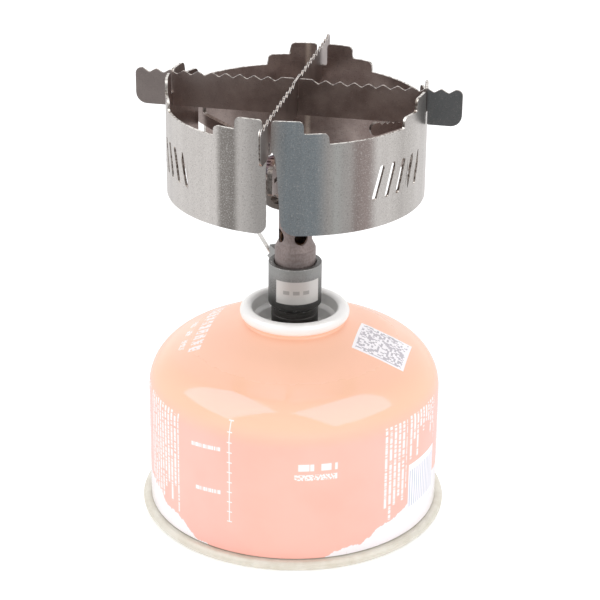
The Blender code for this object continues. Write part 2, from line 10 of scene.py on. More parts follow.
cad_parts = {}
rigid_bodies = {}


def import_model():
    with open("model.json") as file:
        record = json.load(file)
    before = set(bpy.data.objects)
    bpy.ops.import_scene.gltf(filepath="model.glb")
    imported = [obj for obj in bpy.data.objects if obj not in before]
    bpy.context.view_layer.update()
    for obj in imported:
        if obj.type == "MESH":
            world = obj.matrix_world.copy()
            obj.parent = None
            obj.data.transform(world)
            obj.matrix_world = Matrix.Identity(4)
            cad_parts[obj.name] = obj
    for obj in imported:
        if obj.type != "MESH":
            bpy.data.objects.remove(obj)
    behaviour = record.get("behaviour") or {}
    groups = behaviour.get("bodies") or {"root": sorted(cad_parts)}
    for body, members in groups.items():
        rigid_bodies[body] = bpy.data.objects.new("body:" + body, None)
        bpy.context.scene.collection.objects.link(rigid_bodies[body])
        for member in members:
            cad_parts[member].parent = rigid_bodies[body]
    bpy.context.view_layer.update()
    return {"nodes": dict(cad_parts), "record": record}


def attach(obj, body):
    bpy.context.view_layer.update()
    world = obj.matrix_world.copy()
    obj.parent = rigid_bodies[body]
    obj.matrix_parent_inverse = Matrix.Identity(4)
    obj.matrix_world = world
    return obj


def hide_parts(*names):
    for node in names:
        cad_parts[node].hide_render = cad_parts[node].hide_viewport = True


MM = 0.001
for start_item in list(bpy.data.objects):
    bpy.data.objects.remove(start_item, do_unlink=True)
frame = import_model()


# ---- node graphs ---------------------------------------------------------------------------------


def linear(red, green, blue):
    """An sRGB colour in 0 to 255 as linear values."""
    channels = (red, green, blue)
    return tuple(c / 255 / 12.92 if c <= 10 else ((c / 255 + 0.055) / 1.055) ** 2.4 for c in channels)


class Finish:
    """A Principled material with helpers that add nodes to its graph. Positions are in millimetres."""

    def __init__(self, name, colour, roughness, metallic=0.0, **sockets):
        self.material = bpy.data.materials.new(name)
        self.material.use_nodes = True
        self.tree = self.material.node_tree
        self.shader = self.tree.nodes["Principled BSDF"]
        self.shader.inputs["Base Color"].default_value = (*colour, 1)
        self.shader.inputs["Roughness"].default_value = roughness
        self.shader.inputs["Metallic"].default_value = metallic
        for socket, value in sockets.items():
            self.shader.inputs[socket.replace("_", " ")].default_value = value
        coordinates = self.tree.nodes.new("ShaderNodeTexCoord")
        scaled = self.tree.nodes.new("ShaderNodeVectorMath")
        scaled.operation = "SCALE"
        scaled.inputs["Scale"].default_value = 1000
        self.link(coordinates.outputs["Object"], scaled.inputs[0])
        self.position = scaled.outputs["Vector"]
        self.normal = coordinates.outputs["Normal"]
        self.axes = None

    def link(self, source, target):
        if isinstance(source, bpy.types.NodeSocket):
            self.tree.links.new(source, target)
        elif isinstance(source, tuple) and len(source) == 3 and len(target.default_value) == 4:
            target.default_value = (*source, 1)
        else:
            target.default_value = source

    def math(self, operation, *values, clamp=False):
        made = self.tree.nodes.new("ShaderNodeMath")
        made.operation = operation
        made.use_clamp = clamp
        for value, socket in zip(values, made.inputs):
            self.link(value, socket)
        return made.outputs[0]

    def xyz(self):
        if self.axes is None:
            split = self.tree.nodes.new("ShaderNodeSeparateXYZ")
            self.link(self.position, split.inputs[0])
            self.axes = tuple(split.outputs)
        return self.axes

    def around(self):
        """(angle in degrees from -Y towards +X, distance from the Z axis, height)."""
        x, y, z = self.xyz()
        angle = self.math("MULTIPLY", self.math("ARCTAN2", x, self.math("MULTIPLY", y, -1.0)), 180 / pi)
        reach = self.math("SQRT", self.math("ADD", self.math("MULTIPLY", x, x), self.math("MULTIPLY", y, y)))
        return angle, reach, z

    def facing(self, direction):
        """How far the surface faces along this direction or against it, 0 to 1."""
        made = self.tree.nodes.new("ShaderNodeVectorMath")
        made.operation = "DOT_PRODUCT"
        self.link(self.normal, made.inputs[0])
        self.link(direction, made.inputs[1])
        return self.math("ABSOLUTE", made.outputs["Value"])

    def sheared(self, tone, facing, dull, fleck, broken=linear(253, 252, 250)):
        """The tone with a sheet's cut edge: bright where broken, partly bare metal and partly a painted edge
        highlight, duller and flecked along its middle.
        """
        middle = self.mix(self.step(self.noise(1.1, 2.0), 0.35, 0.60), dull, fleck)
        # the bright colour on the rounded edge is partly a painted highlight
        edge = self.mix(self.step(facing, 0.22, 0.10), broken, middle)
        return self.mix(self.step(facing, 0.985, 0.93), tone, edge)

    def vector(self, x, y, z=0.0):
        made = self.tree.nodes.new("ShaderNodeCombineXYZ")
        for value, socket in zip((x, y, z), made.inputs):
            self.link(value, socket)
        return made.outputs[0]

    def noise(self, scale, detail=3.0, stretch=(1, 1, 1), rough=0.5, vector=None):
        """Noise with this many features a millimetre."""
        moved = self.tree.nodes.new("ShaderNodeVectorMath")
        moved.operation = "MULTIPLY"
        self.link(vector or self.position, moved.inputs[0])
        moved.inputs[1].default_value = stretch
        made = self.tree.nodes.new("ShaderNodeTexNoise")
        made.inputs["Scale"].default_value = scale
        made.inputs["Detail"].default_value = detail
        made.inputs["Roughness"].default_value = rough
        self.link(moved.outputs[0], made.inputs["Vector"])
        return made.outputs[0]

    def random(self, x, y=0.0):
        made = self.tree.nodes.new("ShaderNodeTexWhiteNoise")
        self.link(self.vector(x, y), made.inputs["Vector"])
        return made.outputs["Value"]

    def step(self, value, low, high, first=0.0, last=1.0):
        """value from low to high, eased, gives first to last."""
        made = self.tree.nodes.new("ShaderNodeMapRange")
        made.interpolation_type = "SMOOTHSTEP"
        for given, socket in zip((value, low, high, first, last), made.inputs):
            self.link(given, socket)
        return made.outputs[0]

    def band(self, value, low, high, soft=0.1):
        """1 where value lies between low and high."""
        rises = self.step(value, self.math("SUBTRACT", low, soft), self.math("ADD", low, soft))
        falls = self.step(value, self.math("SUBTRACT", high, soft), self.math("ADD", high, soft), 1.0, 0.0)
        return self.math("MULTIPLY", rises, falls)

    def all_of(self, *masks):
        result = masks[0]
        for mask in masks[1:]:
            result = self.math("MULTIPLY", result, mask)
        return result

    def any_of(self, *masks):
        result = masks[0]
        for mask in masks[1:]:
            result = self.math("MAXIMUM", result, mask)
        return result

    def ramp(self, value, *stops):
        made = self.tree.nodes.new("ShaderNodeValToRGB")
        stops_of = made.color_ramp.elements
        while len(stops_of) < len(stops):
            stops_of.new(1.0)
        for stop, (place, colour) in zip(stops_of, stops):
            stop.position = place
            stop.color = (*colour, 1) if isinstance(colour, tuple) else (colour, colour, colour, 1)
        self.link(value, made.inputs[0])
        return made.outputs[0]

    def mix(self, factor, first, second):
        made = self.tree.nodes.new("ShaderNodeMix")
        made.data_type = "RGBA"
        self.link(factor, made.inputs[0])
        self.link(first, made.inputs[6])
        self.link(second, made.inputs[7])
        return made.outputs[2]

    def set(self, colour=None, roughness=None, metallic=None, bump=None, height_mm=0.02):
        if colour is not None:
            self.link(colour, self.shader.inputs["Base Color"])
        if roughness is not None:
            self.link(roughness, self.shader.inputs["Roughness"])
        if metallic is not None:
            self.link(metallic, self.shader.inputs["Metallic"])
        if bump is not None:
            made = self.tree.nodes.new("ShaderNodeBump")
            made.inputs["Strength"].default_value = 1.0
            made.inputs["Distance"].default_value = height_mm * MM
            self.link(bump, made.inputs["Height"])
            self.link(made.outputs[0], self.shader.inputs["Normal"])
        return self.material


# ---- materials -----------------------------------------------------------------------------------

CAN_R = 52.1
# the top colour is the same paint made lighter and more orange, as painted light on the dome
PEACH_LIT_TOP, PEACH_SIDE, WHITE_INK = linear(255, 204, 170), linear(253, 191, 173), linear(253, 250, 248)


def fine_print(f, angle, height, low, high, bottom, top, pitch):
    """Columns of unreadable small print: broken upright strokes with ragged ends, between two angles."""
    along = f.math("MULTIPLY", angle, CAN_R * pi / 180)
    column = f.math("FLOOR", f.math("DIVIDE", along, pitch))
    across = f.math("FRACT", f.math("DIVIDE", along, pitch))
    ends = f.random(column, 3.7)
    start = f.math("ADD", bottom, f.math("MULTIPLY", ends, 12.0))
    spread = f.vector(f.math("MULTIPLY", column, 5.3), f.math("MULTIPLY", height, 1.5))
    strokes = f.noise(1.0, 2.0, vector=spread)
    return f.all_of(
        f.band(angle, low, high, 0.05),
        f.band(across, 0.22, 0.74, 0.08),
        f.band(height, start, top, 0.2),
        f.step(strokes, 0.40, 0.46),
    )


# the white foot of the canister: its height in front and behind, and the angle at which it is full
FOOT_LOW, FOOT_HIGH, FOOT_TURN = 1.0, 18.0, 90.0


def canister_paint():
    f = Finish("canister paint", PEACH_SIDE, 0.1, 0.0, Specular_IOR_Level=0.85, Specular_Tint=(1, 0.58, 1, 1))
    x, y, z = f.xyz()
    angle, reach, height = f.around()

    gauge = f.all_of(f.band(angle, -13.2, -12.8, 0.05), f.band(height, 15.3, 53.5, 0.1))
    tick = f.math("FRACT", f.math("DIVIDE", f.math("SUBTRACT", height, 15.0), 3.83))
    tick = f.all_of(f.band(tick, 0.0, 0.11, 0.03), f.band(height, 14.9, 53.9, 0.1))
    ticks = f.all_of(f.band(angle, -14.0, -11.9, 0.05), tick)
    sloped = f.math("ADD", height, f.math("MULTIPLY", angle, -0.09))
    notes = f.any_of(
        f.all_of(f.band(angle, -30.5, -16.5, 0.1), f.band(sloped, 43.2, 44.7)),
        f.all_of(f.band(angle, -28.5, -16.5, 0.1), f.band(sloped, 26.5, 28.0)),
    )
    notes = f.all_of(notes, f.step(f.noise(1.9, 1.0, vector=f.vector(angle, 0.0)), 0.42, 0.5))
    title = f.all_of(f.band(angle, 12.2, 28.6, 0.1), f.band(height, 37.6, 40.2, 0.15))
    title = f.all_of(title, f.step(f.noise(0.7, 0.0, vector=f.vector(angle, 9.0)), 0.36, 0.42))
    subtitle = f.all_of(f.band(angle, 12.2, 28.6, 0.1), f.band(height, 34.0, 36.2, 0.15))
    subtitle = f.all_of(subtitle, f.step(f.noise(1.3, 1.0, vector=f.vector(angle, height)), 0.44, 0.5))
    left_text = fine_print(f, angle, height, -62.0, -38.0, 9.0, 49.5, 2.1)
    right_text = fine_print(f, angle, height, 49.0, 61.0, 10.0, 48.5, 2.1)
    more_text = fine_print(f, angle, height, 62.5, 84.0, 31.0, 49.0, 2.1)
    more_text_left = fine_print(f, angle, height, -84.0, -66.0, 14.0, 49.5, 2.1)
    ink = f.any_of(gauge, ticks, notes, title, subtitle, left_text, right_text, more_text, more_text_left)

    foot = f.step(f.math("ABSOLUTE", angle), 0.0, FOOT_TURN, FOOT_LOW, FOOT_HIGH)
    hills = f.math("SUBTRACT", f.noise(0.08, 1.0, stretch=(1, 1, 0)), 0.5)
    ridge = f.math("SUBTRACT", f.noise(0.5, 3.0, stretch=(1, 1, 0), rough=0.55), 0.5)
    crest = f.math("ADD", foot, f.math("MULTIPLY", hills, 9.0))
    crest = f.math("ADD", crest, f.math("MULTIPLY", ridge, 3.0))
    snow = f.step(f.math("SUBTRACT", crest, height), -0.15, 0.15)

    panel = f.all_of(f.band(angle, 62.5, 84.0, 0.1), f.band(height, 11.0, 30.0, 0.1))
    stripes = f.band(f.math("FRACT", f.math("MULTIPLY", angle, 0.62)), 0.2, 0.6, 0.08)

    cells_x, cells_y = (f.math("FLOOR", f.math("MULTIPLY", axis, 1.45)) for axis in (x, y))
    on_dome = f.step(height, 57.0, 57.4)
    label = f.all_of(on_dome, f.band(x, 23.0, 41.4, 0.08), f.band(y, -12.5, 7.0, 0.08))
    inner = f.all_of(label, f.band(x, 24.0, 40.4, 0.08), f.band(y, -11.5, 6.0, 0.08))
    speckle = f.all_of(inner, f.step(f.random(cells_x, cells_y), 0.5, 0.52))

    spaced = f.math("FRACT", f.math("MULTIPLY", y, 0.27))
    broken = f.step(f.noise(0.9, 1.0), 0.40, 0.46)
    big_row = f.all_of(on_dome, f.band(x, -34.6, -30.2, 0.15), f.band(y, -19.0, 20.0))
    big_marks = f.all_of(big_row, f.band(spaced, 0.1, 0.78, 0.05), broken)
    words = f.any_of(f.band(y, -15.5, -9.0), f.band(y, -5.5, -1.5), f.band(y, 1.5, 6.5))
    finely = f.step(f.noise(1.6, 1.0), 0.45, 0.52)
    small_marks = f.all_of(on_dome, f.band(x, -39.0, -36.9, 0.15), words, finely)

    mottle = f.noise(0.05, 3.0)
    side = f.mix(f.step(mottle, 0.3, 0.7), PEACH_SIDE, linear(254, 196, 179))
    # painted light: the dome takes the lighter top colour
    base = f.mix(f.step(height, 45.0, 54.0), side, PEACH_LIT_TOP)
    printed = f.mix(f.math("MULTIPLY", f.any_of(ink, big_marks, small_marks), 0.92), base, WHITE_INK)
    printed = f.mix(snow, printed, linear(250, 248, 248))
    printed = f.mix(panel, printed, linear(250, 249, 249))
    printed = f.mix(f.all_of(panel, stripes, f.band(height, 13.0, 27.5, 0.2)), printed, linear(196, 206, 216))
    printed = f.mix(label, printed, linear(252, 252, 252))
    printed = f.mix(f.math("MULTIPLY", speckle, 0.7), printed, linear(164, 162, 166))
    rubbed = f.step(f.noise(1.4, 5.0, stretch=(1, 1, 0.3)), 0.66, 0.72)
    scuff = f.all_of(rubbed, f.band(height, 3.0, 7.0, 1.2))
    printed = f.mix(f.math("MULTIPLY", scuff, 0.5), printed, linear(226, 205, 190))
    roughness = f.step(f.noise(0.25, 4.0), 0.3, 0.7, 0.08, 0.13)
    rough = f.math("ADD", roughness, f.math("MULTIPLY", f.any_of(label, panel), 0.35))
    rough = f.math("ADD", rough, f.step(height, 60.5, 65.5, 0.0, 0.32))
    return f.set(printed, rough, bump=f.noise(0.9, 2.0), height_mm=0.006)


def satin(name, dark, light, roughness, grain=1.0, bump=0.01, metallic=1.0, speckle=0.5):
    """Satin metal: two tones mottled together, a fine speckle, and roughness that follows both."""
    f = Finish(name, light, roughness, metallic)
    cloud = f.step(f.noise(0.06, 4.0), 0.32, 0.68)
    fine = f.noise(2.2 * grain, 3.0)
    tone = f.mix(f.math("ADD", f.math("MULTIPLY", cloud, 0.6), f.math("MULTIPLY", fine, 0.4)), dark, light)
    pits = f.step(f.noise(3.5 * grain, 2.0), 0.60, 0.70)
    tone = f.mix(f.math("MULTIPLY", pits, speckle), tone, tuple(c * 0.55 for c in dark))
    rough = f.math("ADD", roughness - 0.06, f.math("MULTIPLY", fine, 0.14))
    return f.set(tone, rough, bump=fine, height_mm=bump)


# upright bands on the windscreen's outside, partly heat tint and partly painted reflection: middle, half width and
# softness in degrees, colour
TINT_AND_REFLECTION_BANDS = (
    (-18.5, 4.5, 2.0, (145, 140, 135)),  # smoky brown
    (13.5, 9.5, 4.0, (180, 190, 195)),  # steel blue
    (29.0, 2.0, 2.5, (240, 240, 235)),  # bright, a painted highlight
    (41.0, 5.0, 3.0, (175, 160, 155)),  # rose brown
    (65.0, 9.0, 6.0, (205, 200, 195)),  # pale brown
)


def windscreen_metal():
    """Stone-washed titanium: pale outside with upright bands, partly heat tint and partly painted reflection, darker
    inside with a painted highlight streak, sheared edges bright, partly bare metal and partly painted edge highlight.
    """
    f = Finish("windscreen titanium", linear(190, 184, 180), 0.3, 1.0)
    angle, reach, height = f.around()
    tint = linear(225, 220, 215)
    # the bands below are partly heat tint and partly painted reflection
    for middle, half, soft, band_colour in TINT_AND_REFLECTION_BANDS:
        tint = f.mix(f.band(angle, middle - half, middle + half, soft), tint, linear(*band_colour))
    streaks = f.noise(0.22, 4.0, stretch=(1, 1, 0.04))
    tint = f.mix(f.step(streaks, 0.35, 0.7, 0.0, 0.14), tint, linear(128, 120, 118))
    grain = f.noise(1.9, 4.0, rough=0.65)
    flakes = f.step(f.noise(2.6, 4.0, rough=0.7), 0.52, 0.64)
    pits = f.step(f.noise(2.3, 3.0), 0.52, 0.68)
    tint = f.mix(f.math("MULTIPLY", flakes, 0.5), tint, linear(250, 247, 244))
    tint = f.mix(f.math("MULTIPLY", pits, 0.28), tint, linear(116, 110, 108))
    within = f.mix(f.step(f.noise(0.12, 4.0), 0.3, 0.7), linear(150, 134, 129), linear(186, 171, 165))
    # a narrow painted highlight streak on the inside wall
    within = f.mix(f.band(angle, -174.6, -172.4, 0.9), within, linear(238, 226, 214))
    within = f.mix(f.math("MULTIPLY", pits, 0.3), within, linear(84, 74, 72))
    colour = f.mix(f.step(reach, 43.8, 44.1), within, tint)
    scratch = f.step(f.noise(0.8, 2.0, stretch=(0.25, 0.25, 3.0)), 0.66, 0.70)
    colour = f.mix(f.math("MULTIPLY", scratch, 0.22), colour, linear(240, 238, 235))
    x, y, z = f.xyz()
    outwards = f.vector(f.math("DIVIDE", x, reach), f.math("DIVIDE", y, reach))
    colour = f.sheared(colour, f.facing(outwards), linear(132, 124, 116), linear(228, 224, 218))
    rough = f.math("ADD", 0.22, f.math("MULTIPLY", grain, 0.22))
    return f.set(colour, rough, bump=f.math("ADD", grain, f.math("MULTIPLY", streaks, 0.6)), height_mm=0.014)


def plate_metal(name, across):
    """Dark heat-tinted plate with bright sheared edges, partly a painted edge highlight. across is the way its
    thickness runs.
    """
    f = Finish(name, linear(120, 105, 100), 0.32, 1.0)
    cloud = f.step(f.noise(0.10, 4.0), 0.32, 0.68)
    grain = f.noise(1.8, 4.0, rough=0.65)
    tone = f.mix(cloud, linear(142, 128, 123), linear(171, 158, 152))
    x, y, z = f.xyz()
    tone = f.mix(f.step(x, -10.0, -44.0, 0.0, 0.6), tone, linear(188, 177, 173))
    tone = f.mix(f.step(x, 43.0, 45.0, 0.0, 0.8), tone, linear(122, 128, 130))
    tone = f.mix(f.step(grain, 0.55, 0.7, 0.0, 0.3), tone, linear(204, 192, 186))
    tone = f.mix(f.step(f.noise(2.6, 3.0), 0.58, 0.68, 0.0, 0.35), tone, linear(80, 70, 68))
    tone = f.sheared(tone, f.facing(across), linear(88, 78, 74), linear(186, 176, 168))
    return f.set(tone, f.math("ADD", 0.24, f.math("MULTIPLY", grain, 0.2)), bump=grain, height_mm=0.012)


def arm_metal():
    """Brown-grey arms with bright sheared edges, partly a painted edge highlight; each arm's sheet stands across the
    way round the stove.
    """
    f = Finish("arm steel", linear(130, 116, 110), 0.32, 1.0)
    x, y, z = f.xyz()
    angle, reach, height = f.around()
    grain = f.noise(1.8, 4.0, rough=0.65)
    tone = f.mix(f.step(f.noise(0.12, 4.0), 0.32, 0.68), linear(158, 145, 140), linear(186, 172, 167))
    tone = f.mix(f.step(grain, 0.55, 0.7, 0.0, 0.3), tone, linear(204, 196, 190))
    tone = f.mix(f.step(f.noise(2.6, 3.0), 0.58, 0.68, 0.0, 0.35), tone, linear(80, 72, 70))
    around = f.vector(f.math("DIVIDE", f.math("MULTIPLY", y, -1.0), reach), f.math("DIVIDE", x, reach))
    dull, fleck, broken = linear(118, 110, 106), linear(150, 142, 136), linear(206, 198, 192)
    tone = f.sheared(tone, f.facing(around), dull, fleck, broken)
    return f.set(tone, f.math("ADD", 0.26, f.math("MULTIPLY", grain, 0.16)), bump=grain, height_mm=0.012)


def tube_metal():
    """Mixing tube and bowl: matt brown-grey steel, straw-brown towards the flame, lighter brown inside the bore as
    painted light.
    """
    f = Finish("heated tube", linear(150, 137, 134), 0.48, 1.0)
    angle, reach, height = f.around()
    grain = f.noise(2.2, 4.0, stretch=(0.8, 0.8, 0.5))
    lines = f.noise(2.0, 2.0, stretch=(0.05, 0.05, 1.0))
    tone = f.mix(f.step(grain, 0.3, 0.7), linear(144, 131, 128), linear(162, 150, 147))
    tone = f.mix(f.step(lines, 0.4, 0.7, 0.0, 0.25), tone, linear(182, 172, 168))
    # painted light: a lighter brown inside the bore
    inner = f.all_of(f.step(reach, 5.25, 5.1), f.step(height, 122.0, 121.5))
    tone = f.mix(f.math("MULTIPLY", inner, 0.9), tone, linear(214, 176, 142))
    tone = f.mix(f.step(height, 116.0, 127.0, 0.0, 0.5), tone, linear(142, 116, 96))
    return f.set(tone, f.math("ADD", 0.40, f.math("MULTIPLY", grain, 0.16)), bump=grain, height_mm=0.004)


def body_metal():
    """Speckled grey anodised valve body with a plain silver label that carries three short bars, with painted light
    towards its top and painted shade towards its bottom.
    """
    f = Finish("grey anodised", linear(128, 130, 130), 0.42, 0.85)
    angle, reach, height = f.around()
    grain = f.noise(2.4, 4.0, rough=0.65)
    marks = f.noise(3.0, 2.0, stretch=(0.05, 0.05, 1.0))
    tone = f.mix(f.step(grain, 0.32, 0.68), linear(106, 106, 104), linear(152, 152, 150))
    tone = f.mix(f.step(marks, 0.3, 0.7, 0.0, 0.22), tone, linear(92, 92, 90))
    # painted shade: darker towards the bottom of the body
    tone = f.mix(f.step(height, 86.5, 78.5, 0.0, 0.85), tone, linear(62, 61, 60))
    # painted light: lighter towards the top of the body
    tone = f.mix(f.step(height, 85.5, 91.0, 0.0, 0.55), tone, linear(184, 184, 182))
    tone = f.mix(f.step(f.facing((0.0, 0.0, 1.0)), 0.75, 0.9, 0.0, 0.8), tone, linear(88, 88, 86))
    label = f.all_of(f.band(angle, -32.4, 71.4, 0.4), f.band(height, 80.2, 88.7, 0.12))
    label = f.all_of(f.step(reach, 9.1, 9.3), label)
    place = f.math("FRACT", f.math("DIVIDE", f.math("ADD", angle, 16.0), 22.0))
    bars = f.all_of(label, f.band(angle, -16.0, 50.0, 0.6), f.band(height, 83.9, 85.3, 0.1))
    bars = f.all_of(bars, f.band(place, 0.08, 0.72, 0.03))
    tone = f.mix(label, tone, linear(224, 221, 218))
    tone = f.mix(f.math("MULTIPLY", bars, 0.45), tone, linear(120, 120, 120))
    ends = f.any_of(f.step(height, 92.4, 93.0), f.step(height, 78.2, 77.7))
    wear = f.all_of(f.step(f.noise(1.2, 4.0), 0.60, 0.68), ends)
    tone = f.mix(f.math("MULTIPLY", wear, 0.5), tone, linear(200, 200, 198))
    return f.set(tone, f.math("ADD", 0.34, f.math("MULTIPLY", grain, 0.2)), bump=grain, height_mm=0.008)


def seam_paint():
    f = Finish("seam enamel", linear(232, 226, 208), 0.34, 0.0, Coat_Weight=0.2)
    angle, reach, height = f.around()
    tone = f.mix(f.step(f.noise(0.2, 4.0), 0.3, 0.7), linear(215, 209, 193), linear(226, 222, 209))
    rub = f.step(f.noise(1.1, 5.0, stretch=(1, 1, 3)), 0.62, 0.70)
    low = f.any_of(f.step(height, 0.9, 0.3), f.step(reach, 54.6, 54.95, 0.0, 0.5))
    tone = f.mix(f.math("MULTIPLY", f.all_of(rub, low), 0.5), tone, linear(176, 170, 158))
    rough = f.step(f.noise(0.7, 3.0), 0.3, 0.7, 0.28, 0.42)
    return f.set(tone, rough, bump=f.noise(0.6, 3.0), height_mm=0.02)


def black_rubber():
    f = Finish("rubber", linear(40, 39, 38), 0.62)
    grain = f.noise(3.0, 4.0)
    tone = f.mix(f.step(grain, 0.3, 0.7), linear(34, 33, 32), linear(54, 52, 50))
    return f.set(tone, f.step(grain, 0.3, 0.7, 0.55, 0.75), bump=grain, height_mm=0.01)


def black_aluminium():
    f = Finish("black anodised", linear(46, 44, 42), 0.36, 0.5)
    angle, reach, height = f.around()
    marks = f.noise(3.0, 3.0, stretch=(0.06, 0.06, 1.0))
    tone = f.mix(f.step(marks, 0.3, 0.7), linear(38, 36, 34), linear(62, 60, 58))
    ends = f.any_of(f.step(height, 75.9, 76.4), f.step(height, 67.5, 67.0))
    wear = f.all_of(f.step(f.noise(1.3, 4.0), 0.60, 0.68), ends)
    tone = f.mix(f.math("MULTIPLY", wear, 0.5), tone, linear(150, 150, 148))
    return f.set(tone, f.math("ADD", 0.3, f.math("MULTIPLY", marks, 0.16)), bump=marks, height_mm=0.008)


def burner_steel():
    """The burner's cap: straw and brown heat tints, blue towards its rim."""
    f = Finish("burnt steel", linear(140, 124, 112), 0.42, 1.0)
    angle, reach, height = f.around()
    wander = f.math("ADD", reach, f.math("MULTIPLY", f.math("SUBTRACT", f.noise(0.3, 3.0), 0.5), 4.0))
    tint = f.ramp(
        f.math("DIVIDE", wander, 13.0),
        (0.0, linear(128, 112, 104)),
        (0.45, linear(150, 128, 104)),
        (0.75, linear(134, 110, 112)),
        (1.0, linear(104, 112, 132)),
    )
    grain = f.noise(2.0, 4.0)
    return f.set(tint, f.math("ADD", 0.34, f.math("MULTIPLY", grain, 0.2)), bump=grain, height_mm=0.015)


TINPLATE = linear(246, 245, 242), linear(253, 252, 250)
BRASS = linear(186, 146, 84), linear(222, 184, 118)
STAINLESS = linear(196, 197, 192), linear(232, 233, 228)
BRONZE = linear(120, 88, 58), linear(176, 136, 92)
# the bracket's steel, darkened as painted shade for its place in shadow inside the windscreen
BRACKET_STEEL_IN_SHADE = linear(84, 76, 72), linear(118, 110, 104)
SPINDLE_STEEL = linear(140, 141, 140), linear(170, 171, 170)
WIRE_STEEL = linear(200, 198, 193), linear(222, 220, 216)

finishes = {
    "can_paint": canister_paint(),
    "tin": seam_paint(),
    "tin_bright": satin("tinplate", *TINPLATE, 0.3, 0.5, bump=0.004, speckle=0.05, metallic=0.12),
    "brass": satin("brass", *BRASS, 0.3, speckle=0.3),
    "rubber": black_rubber(),
    "steel": satin("stainless steel", *STAINLESS, 0.22, speckle=0.2, bump=0.005),
    "steel_burnt": burner_steel(),
    "sintered": satin("sintered bronze", *BRONZE, 0.7, bump=0.06, speckle=0.8),
    "black": black_aluminium(),
    "anodised": body_metal(),
    "titanium": windscreen_metal(),
    "titanium_dark": tube_metal(),
    "bracket": satin("bracket steel in painted shade", *BRACKET_STEEL_IN_SHADE, 0.34, bump=0.01, speckle=0.3),
    "arm": arm_metal(),
    "yoke": satin("spindle steel", *SPINDLE_STEEL, 0.34, bump=0.008, speckle=0.3),
    "wire": satin("handle wire", *WIRE_STEEL, 0.34, bump=0.003, speckle=0.08, metallic=0.5),
}
for entry in frame["record"]["subparts"]:
    node = frame["nodes"][entry["node"]]
    node.data.materials.clear()
    node.data.materials.append(finishes[entry["material_slot"]])


# ---- piece helpers -------------------------------------------------------------------------------


def piece(name, mesh, finish, body, slot, *nodes):
    """A visible piece that stands for these CAD nodes and rides on their body."""
    made = bpy.data.objects.new(name, mesh)
    bpy.context.scene.collection.objects.link(made)
    mesh.materials.clear()
    mesh.materials.append(finish)
    mesh.shade_smooth()
    mesh.set_sharp_from_angle(angle=radians(32))
    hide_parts(*nodes)
    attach(made, body)
    return made


def evenly_shaded(*details):
    """A piece whose normals follow its larger faces, so that flat faces stay flat beside broken edges."""
    made = piece(*details)
    made.modifiers.new("weighted normals", "WEIGHTED_NORMAL").keep_sharp = True
    return made


def arc(x, y, radius, start, end, steps):
    """Points on an arc, from one angle to another in degrees."""
    turns = [radians(start + (end - start) * k / steps) for k in range(steps + 1)]
    return [(x + radius * cos(t), y + radius * sin(t)) for t in turns]


def lathe(name, profile, segments, closed=True):
    """A profile of (radius, height) in mm turned round Z. A point on the axis becomes one vertex."""
    form = bmesh.new()
    rings = []
    for r, z in profile:
        if r < 1e-6:
            rings.append([form.verts.new((0, 0, z * MM))])
            continue
        turns = [2 * pi * k / segments for k in range(segments)]
        rings.append([form.verts.new((r * cos(t) * MM, r * sin(t) * MM, z * MM)) for t in turns])
    pairs = list(zip(rings, rings[1:] + rings[:1])) if closed else list(zip(rings, rings[1:]))
    for upper, lower in pairs:
        for k in range(segments):
            n = (k + 1) % segments
            corners = [upper[k % len(upper)], lower[k % len(lower)]]
            corners += [lower[n % len(lower)], upper[n % len(upper)]]
            form.faces.new(list(dict.fromkeys(corners)))
    bmesh.ops.recalc_face_normals(form, faces=form.faces)
    mesh = bpy.data.meshes.new(name)
    form.to_mesh(mesh)
    form.free()
    return mesh


def radial(angle, reach=0.0, height=0.0):
    turn = radians(angle)
    return Vector((reach * sin(turn), -reach * cos(turn), height)) * MM


def upright(angle, reach=0.0, height=0.0):
    """Local X points outwards at this angle, local Y up."""
    turn = Matrix.Rotation(radians(angle - 90), 4, "Z") @ Matrix.Rotation(radians(90), 4, "X")
    return Matrix.Translation(radial(angle, reach, height)) @ turn


def rounded(corners, steps=6):
    """The outline through (x, y, radius) corners, each rounded by an arc of its radius."""
    outline = []
    for k, (x, y, radius) in enumerate(corners):
        here = Vector((x, y))
        back = Vector(corners[k - 1][:2]) - here
        ahead = Vector(corners[(k + 1) % len(corners)][:2]) - here
        opening = back.angle(ahead)
        if radius <= 0 or abs(opening - pi) < 0.02:
            outline.append((x, y))
            continue
        reach = radius / tan(opening / 2)
        centre = here + (back.normalized() + ahead.normalized()).normalized() * (radius / sin(opening / 2))
        start = here + back.normalized() * reach - centre
        end = here + ahead.normalized() * reach - centre
        sweep = start.angle_signed(end)
        for step in range(steps + 1):
            spoke = start.copy()
            spoke.rotate(Matrix.Rotation(-sweep * step / steps, 2))
            outline.append(tuple(centre + spoke))
    return outline


def circle(x, y, radius, sides):
    turns = [2 * pi * k / sides for k in range(sides)]
    return [(x + radius * cos(turn), y + radius * sin(turn)) for turn in turns]


def evaluated_mesh(made):
    """The object's final shape as a welded mesh. The object is removed."""
    graph = bpy.context.evaluated_depsgraph_get()
    mesh = bpy.data.meshes.new_from_object(made.evaluated_get(graph))
    bpy.data.objects.remove(made, do_unlink=True)
    form = bmesh.new()
    form.from_mesh(mesh)
    bmesh.ops.remove_doubles(form, verts=form.verts, dist=0.000001)
    form.to_mesh(mesh)
    form.free()
    return mesh


